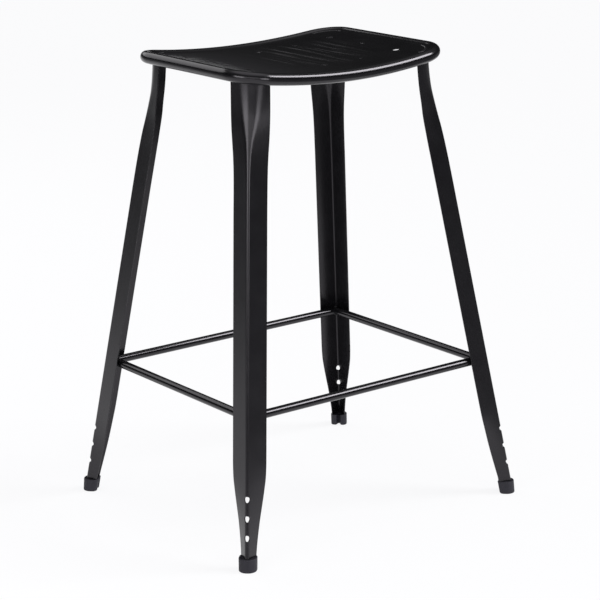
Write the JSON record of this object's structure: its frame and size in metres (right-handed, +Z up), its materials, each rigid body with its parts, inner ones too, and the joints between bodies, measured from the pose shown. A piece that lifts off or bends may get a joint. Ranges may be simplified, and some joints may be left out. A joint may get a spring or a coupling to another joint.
{
  "type": "counter stool",
  "caption": "Backless steel counter stool with a saddle seat, rolled rim, splayed pressed legs, round foot rails and rubber feet, for sitting at a raised counter.",
  "frame": {"origin": "on the floor, under the middle of the seat", "axes": "+Z up, +X towards the sitter's right-hand side as seen from the front, -Y towards the front; the seat's raised sides are at -X and +X"},
  "size_m": [0.4934, 0.4234, 0.66],
  "materials": {
    "black_coat": "black semi-gloss powder coat",
    "black_rubber": "matt black moulded rubber"
  },
  "bodies": {
    "root": {"seat_pan": "black_coat", "leg_front_left": "black_coat", "leg_front_right": "black_coat", "leg_back_left": "black_coat", "leg_back_right": "black_coat", "rail_front": "black_coat", "rail_back": "black_coat", "rail_left": "black_coat", "rail_right": "black_coat", "rail_weld_front_left": "black_coat", "rail_weld_front_right": "black_coat", "rail_weld_back_left": "black_coat", "rail_weld_back_right": "black_coat", "seat_weld_front_left": "black_coat", "seat_weld_front_right": "black_coat", "seat_weld_back_left": "black_coat", "seat_weld_back_right": "black_coat", "foot_front_left": "black_rubber", "foot_front_right": "black_rubber", "foot_back_left": "black_rubber", "foot_back_right": "black_rubber"}
  },
  "joints": []
}
